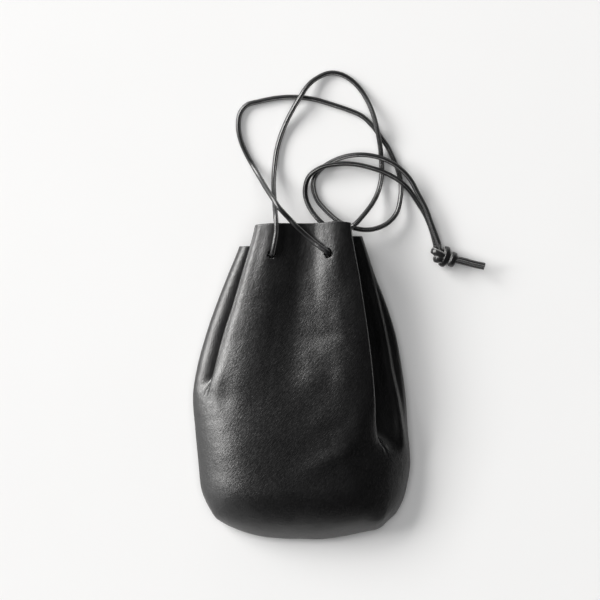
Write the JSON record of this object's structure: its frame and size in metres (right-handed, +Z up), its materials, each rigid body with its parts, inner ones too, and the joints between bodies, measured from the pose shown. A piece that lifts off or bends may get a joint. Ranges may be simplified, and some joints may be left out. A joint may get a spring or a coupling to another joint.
{
  "type": "leather drawstring pouch",
  "caption": "Lying leather drawstring pouch: rounded bottom, side pleats at the gathered mouth, one long lace through punched holes, its two ends tied in an overhand knot.",
  "frame": {"origin": "on the floor plane, in the middle of the pouch's length and width, free lace left out", "axes": "+Y from the bottom seam to the mouth, +Z up from the back to the front of the lying pouch, +X to the right seen from the front"},
  "size_m": [0.2335, 0.3742, 0.0382],
  "materials": {
    "pouch_leather": "satin black leather with a fine diagonal grain",
    "lace_leather": "satin black round stitched leather lace"
  },
  "bodies": {
    "root": {"front_panel": "pouch_leather", "back_panel": "pouch_leather", "gather_lace": "lace_leather", "strand_left": "lace_leather", "strand_right": "lace_leather", "knot": "lace_leather", "tail_left": "lace_leather", "tail_right": "lace_leather"}
  },
  "joints": []
}
